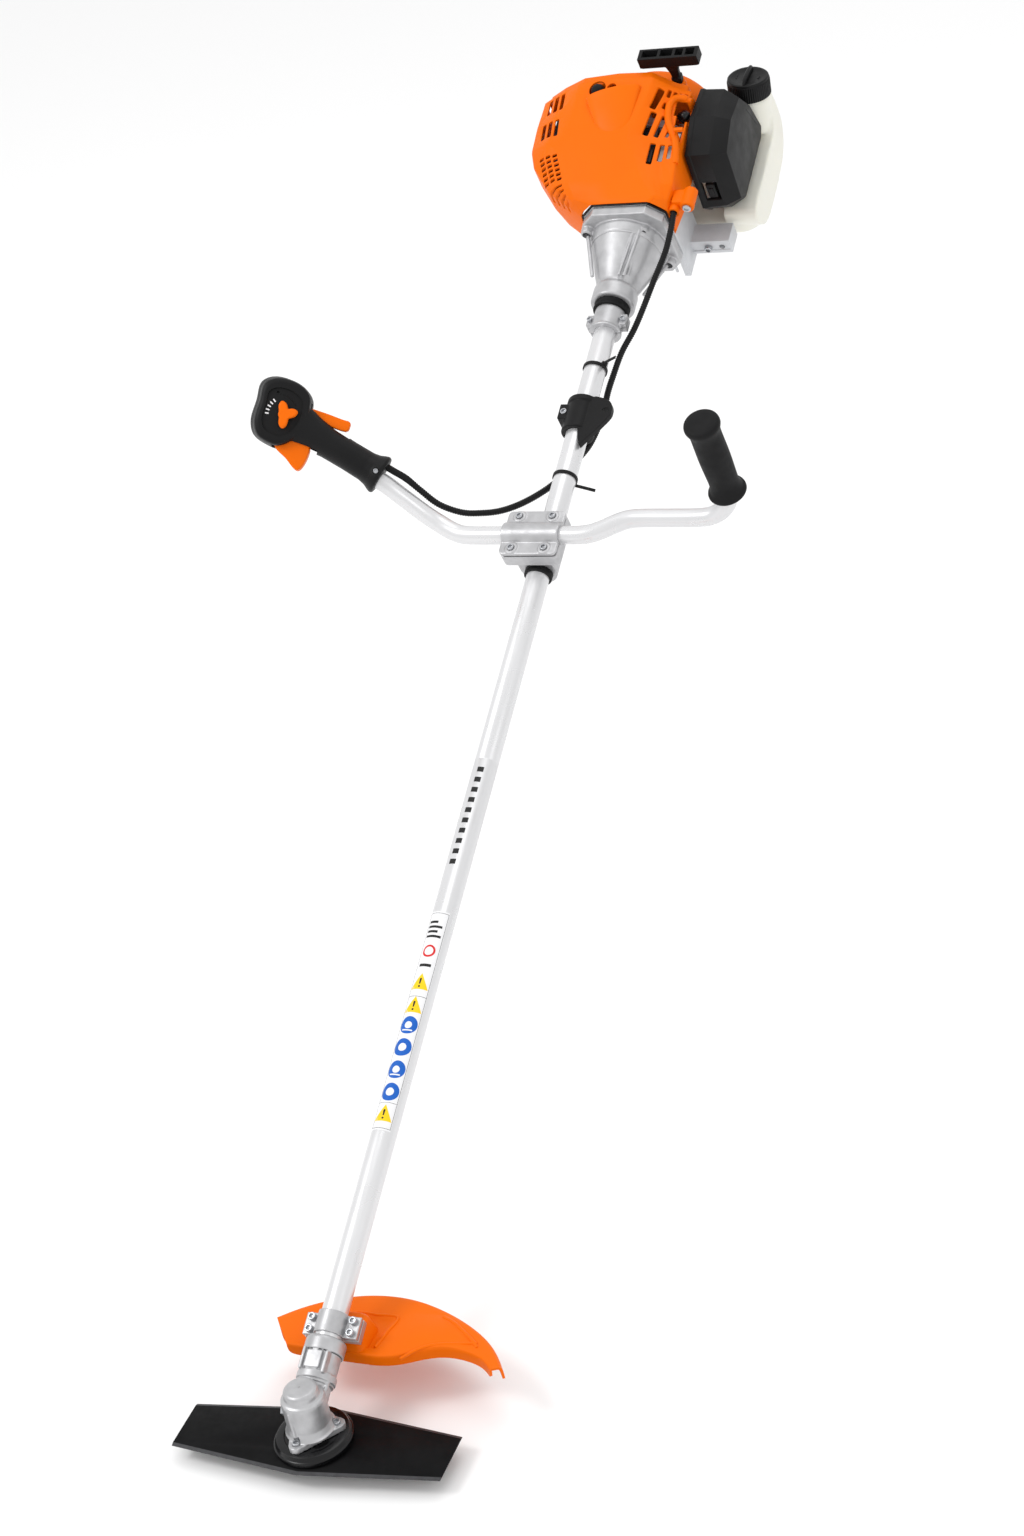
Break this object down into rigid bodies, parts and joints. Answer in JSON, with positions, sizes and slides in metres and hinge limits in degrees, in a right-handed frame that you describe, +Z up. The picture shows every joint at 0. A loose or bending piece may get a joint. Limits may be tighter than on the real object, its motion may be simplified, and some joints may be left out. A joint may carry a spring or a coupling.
{
  "type": "brush cutter",
  "caption": "Petrol brush cutter: two-edged blade on a bevel gear head, straight drive tube, bicycle handlebar with throttle handle, orange-hooded engine, tank and recoil starter.",
  "frame": {"origin": "centre of the carrying eye's hole on the drive tube, where the harness hook holds the machine", "axes": "+Z up with the blade level, -Y forwards to the blade, +X to the operator's left; the drive tube rises 26 degrees from the blade towards the engine at +Y"},
  "size_m": [0.603, 1.7415, 0.9452],
  "materials": {
    "tube_alloy": "satin drawn aluminium tube",
    "cast_alloy": "blasted die casting",
    "steel": "zinc plated or ground steel",
    "blade_steel": "black paint with bare edges",
    "orange_plastic": "moulded, semi-gloss",
    "black_plastic": "fine moulded texture",
    "black_rubber": "soft matt",
    "tank_plastic": "milky, slightly see-through polyethylene",
    "grey_casting": "light grey sand-textured casting",
    "label_paper": "printed film",
    "filter_felt": "pleated felt",
    "rope_fibre": "braided",
    "ceramic": "glazed"
  },
  "bodies": {
    "root": {"gearbox_housing": "cast_alloy", "gearbox_plug": "steel", "gearbox_bearings": "steel", "winding_guard": "black_plastic", "guard": "orange_plastic", "guard_bracket": "steel", "guard_screws": "steel", "drive_tube": "tube_alloy", "shaft_bushes": "black_plastic", "safety_label": "label_paper", "handlebar_clamp_base": "cast_alloy", "handlebar_clamp_cap": "cast_alloy", "clamp_screws": "steel", "clamp_rubber_ring": "black_rubber", "handlebar": "tube_alloy", "control_handle_rear": "black_plastic", "control_handle_front": "black_plastic", "rubber_grip": "black_rubber", "throttle_conduit": "black_plastic", "cable_ties": "black_plastic", "harness_clamp": "black_plastic", "engine_clamp_collar": "cast_alloy", "vibration_ring": "black_rubber", "clutch_housing": "cast_alloy", "housing_screws": "steel", "crank_bearings": "steel", "crankcase": "grey_casting", "cylinder_block": "grey_casting", "muffler": "steel", "spark_plug": "ceramic", "plug_boot": "black_rubber", "engine_shroud": "orange_plastic", "carburettor": "grey_casting", "air_filter": "filter_felt", "fuel_tank": "tank_plastic", "starter_housing": "orange_plastic", "starter_rope": "rope_fibre"},
    "blade_spindle": {"bevel_gear": "steel", "spindle": "steel", "thrust_plate": "steel", "blade": "blade_steel", "rider_plate": "blade_steel", "blade_nut": "steel"},
    "drive_line": {"pinion_shaft": "steel", "drive_shaft": "steel", "clutch_drum": "steel"},
    "crank": {"crankshaft": "steel", "flywheel": "grey_casting", "clutch_shoes": "steel"},
    "piston": {"piston": "cast_alloy"},
    "trigger": {"throttle_trigger": "orange_plastic"},
    "lockout": {"throttle_lockout": "orange_plastic"},
    "switch": {"stop_switch": "orange_plastic"},
    "bulb": {"primer_bulb": "black_rubber"},
    "choke": {"choke_lever": "orange_plastic"},
    "cover": {"filter_cover": "black_plastic"},
    "cap": {"fuel_cap": "black_plastic"},
    "pulley": {"starter_pulley": "black_plastic"},
    "pull_grip": {"starter_grip": "black_plastic"}
  },
  "joints": [
    {"name": "blade_spin", "type": "hinge", "parent": "root", "child": "blade_spindle", "pos_m": [-0.036, -1.1452, -0.5719], "axis": [0, 0, 1], "continuous": true},
    {"name": "drive_line_spin", "type": "hinge", "parent": "root", "child": "drive_line", "pos_m": [-0.036, -1.1452, -0.5719], "axis": [0, 0.8988, 0.4384], "continuous": true},
    {"name": "crank_spin", "type": "hinge", "parent": "root", "child": "crank", "pos_m": [-0.036, 0.38275, 0.17333], "axis": [0, 0.8988, 0.4384], "continuous": true},
    {"name": "piston_stroke", "type": "slide", "parent": "root", "child": "piston", "axis": [0, 0.4384, -0.8988], "range_m": [0, 0.02]},
    {"name": "throttle_trigger", "type": "hinge", "parent": "root", "child": "trigger", "pos_m": [-0.31661, -0.20064, 0.07597], "axis": [0.39, -0.7758, 0.4959], "range_deg": [0, 15], "stiffness_Nm_per_rad": 0.3, "springref_deg": -8.59},
    {"name": "throttle_lockout", "type": "hinge", "parent": "root", "child": "lockout", "pos_m": [-0.30466, -0.18424, 0.09222], "axis": [-0.39, 0.7758, -0.4959], "range_deg": [0, 6], "stiffness_Nm_per_rad": 0.2, "springref_deg": -8.59},
    {"name": "stop_switch_rock", "type": "hinge", "parent": "root", "child": "switch", "pos_m": [-0.31968, -0.2064, 0.10162], "axis": [0.39, -0.7758, 0.4959], "range_deg": [-25, 25]},
    {"name": "primer_press", "type": "slide", "parent": "root", "child": "bulb", "axis": [-0.7071, 0.31, -0.6355], "range_m": [0, 0.003], "stiffness_N_per_m": 400, "springref_m": -0.001},
    {"name": "choke_turn", "type": "hinge", "parent": "root", "child": "choke", "pos_m": [0.0254, 0.33609, 0.20286], "axis": [-1, 0, 0], "range_deg": [0, 30]},
    {"name": "filter_cover_off", "type": "slide", "parent": "root", "child": "cover", "axis": [1, 0, 0], "range_m": [0, 0.06]},
    {"name": "fuel_cap_turn", "type": "hinge", "parent": "root", "child": "cap", "pos_m": [0.073, 0.4853, 0.23225], "axis": [0.0833, -0.1548, 0.9844], "range_deg": [0, 110]},
    {"name": "starter_pull", "type": "slide", "parent": "root", "child": "pull_grip", "axis": [0, -0.4384, 0.8988], "range_m": [0, 0.6], "stiffness_N_per_m": 8, "springref_m": -0.6, "deforming": ["starter_rope"]},
    {"name": "starter_pulley_spin", "type": "hinge", "parent": "root", "child": "pulley", "pos_m": [-0.036, 0.44747, 0.20489], "axis": [0, 0.8988, 0.4384], "range_deg": [-1020, 10]}
  ],
  "couplings": [
    {"joint": "drive_line_spin", "follows": "blade_spin", "ratio": -1.4},
    {"joint": "starter_pulley_spin", "follows": "starter_pull", "rad_per_m": -29.4}
  ]
}
